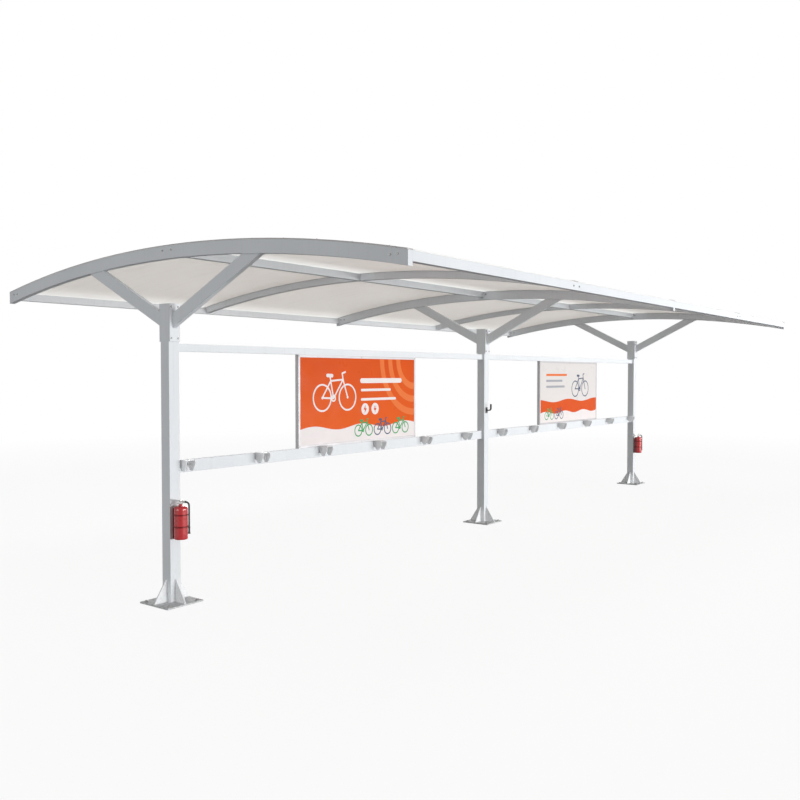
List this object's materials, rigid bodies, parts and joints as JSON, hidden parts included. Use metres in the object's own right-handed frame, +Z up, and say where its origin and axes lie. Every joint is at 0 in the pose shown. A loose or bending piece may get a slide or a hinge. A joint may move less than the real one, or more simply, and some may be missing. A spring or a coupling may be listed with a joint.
{
  "type": "bike shelter",
  "caption": "Double sided bike shelter with a shallow arched roof on a row of braced posts, with rails, notice boards, charging sockets and extinguishers between the posts.",
  "frame": {"origin": "on the ground under the middle post, at the bottom centre of the bounding box", "axes": "+X along the row of posts, +Y across the roof away from the boards' printed side, +Z up"},
  "size_m": [9.79, 4.75, 2.8464],
  "materials": {
    "frame_paint": "satin light grey paint",
    "roof_sheet": "milky, slightly translucent",
    "trim_aluminium": "brushed",
    "board_print": "printed panel",
    "socket_plastic": "moulded",
    "extinguisher_red": "gloss enamel",
    "valve_steel": "plated",
    "hose_rubber": "black rubber"
  },
  "bodies": {
    "root": {"base_gussets": "frame_paint", "base_plate_far": "frame_paint", "base_plate_middle": "frame_paint", "base_plate_near": "frame_paint", "board_frame_far": "trim_aluminium", "board_frame_near": "trim_aluminium", "board_panels_far": "board_print", "board_panels_near": "board_print", "eave_beam_far_back": "frame_paint", "eave_beam_far_front": "frame_paint", "eave_beam_near_back": "frame_paint", "eave_beam_near_front": "frame_paint", "extinguisher_brackets": "extinguisher_red", "extinguisher_cylinders": "extinguisher_red", "extinguisher_hoses": "hose_rubber", "extinguisher_valves": "valve_steel", "lower_rail_far": "frame_paint", "lower_rail_near": "frame_paint", "main_rib_far": "frame_paint", "main_rib_middle": "frame_paint", "main_rib_near": "frame_paint", "post_far": "frame_paint", "post_hook": "hose_rubber", "post_middle": "frame_paint", "post_near": "frame_paint", "ridge_purlins_far": "frame_paint", "ridge_purlins_near": "frame_paint", "roof_cover_strips": "trim_aluminium", "roof_sheet_1": "roof_sheet", "roof_sheet_2": "roof_sheet", "roof_sheet_3": "roof_sheet", "roof_sheet_4": "roof_sheet", "small_rib_far": "frame_paint", "small_rib_near": "frame_paint", "sockets_far": "socket_plastic", "sockets_near": "socket_plastic", "strut_far_back": "frame_paint", "strut_far_front": "frame_paint", "strut_flanges": "frame_paint", "strut_middle_back": "frame_paint", "strut_middle_front": "frame_paint", "strut_near_back": "frame_paint", "strut_near_front": "frame_paint", "upper_rail_far": "frame_paint", "upper_rail_near": "frame_paint"}
  },
  "joints": []
}
